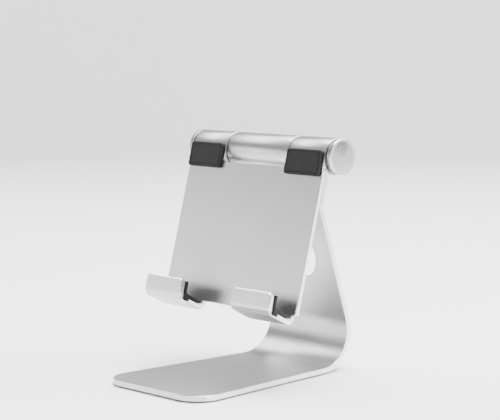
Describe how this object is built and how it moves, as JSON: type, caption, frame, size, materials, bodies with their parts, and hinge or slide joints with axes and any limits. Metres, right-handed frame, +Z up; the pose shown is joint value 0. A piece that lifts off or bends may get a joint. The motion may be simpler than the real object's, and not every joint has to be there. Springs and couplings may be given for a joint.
{
  "type": "tablet stand",
  "caption": "Desk stand for a tablet: a bent sheet base and arm with a cable hole, and a tilting cradle with padded hooks on a friction hinge across the arm's top.",
  "frame": {"origin": "on the desk, under the middle of the stand's box", "axes": "+X to the right as seen from the front, along the hinge axis; +Y to the rear; +Z up"},
  "size_m": [0.117, 0.1344, 0.1423],
  "materials": {
    "blasted_aluminium": "fine bead-blasted and clear anodised, satin, with bright chamfered edges",
    "spun_aluminium": "lathe-turned face with fine concentric rings",
    "steel": "plain steel, lightly ground",
    "washer_bronze": "oiled bearing bronze",
    "black_rubber": "matt black silicone rubber"
  },
  "bodies": {
    "stand": {"base_arm": "blasted_aluminium", "centre_knuckle": "blasted_aluminium", "arm_screw_left": "steel", "arm_screw_right": "steel", "bush_left": "washer_bronze", "bush_right": "washer_bronze", "foot_front_left": "black_rubber", "foot_front_right": "black_rubber", "foot_rear_left": "black_rubber", "foot_rear_right": "black_rubber"},
    "cradle": {"cradle_plate": "blasted_aluminium", "outer_knuckle_left": "blasted_aluminium", "outer_knuckle_right": "blasted_aluminium", "cradle_screw_left_inner": "steel", "cradle_screw_left_outer": "steel", "cradle_screw_right_inner": "steel", "cradle_screw_right_outer": "steel", "hinge_shaft": "steel", "friction_washer_left": "washer_bronze", "friction_washer_right": "washer_bronze", "thrust_washer": "steel", "disc_spring_1": "steel", "disc_spring_2": "steel", "lock_nut": "steel", "end_cap_left": "spun_aluminium", "end_cap_right": "spun_aluminium", "upper_pad_left": "black_rubber", "upper_pad_right": "black_rubber", "hook_liner_left": "black_rubber", "hook_liner_right": "black_rubber"}
  },
  "joints": [
    {"name": "cradle_tilt", "type": "hinge", "parent": "stand", "child": "cradle", "pos_m": [0, 0.03007, 0.13153], "axis": [1, 0, 0], "range_deg": [-75, 30]}
  ]
}
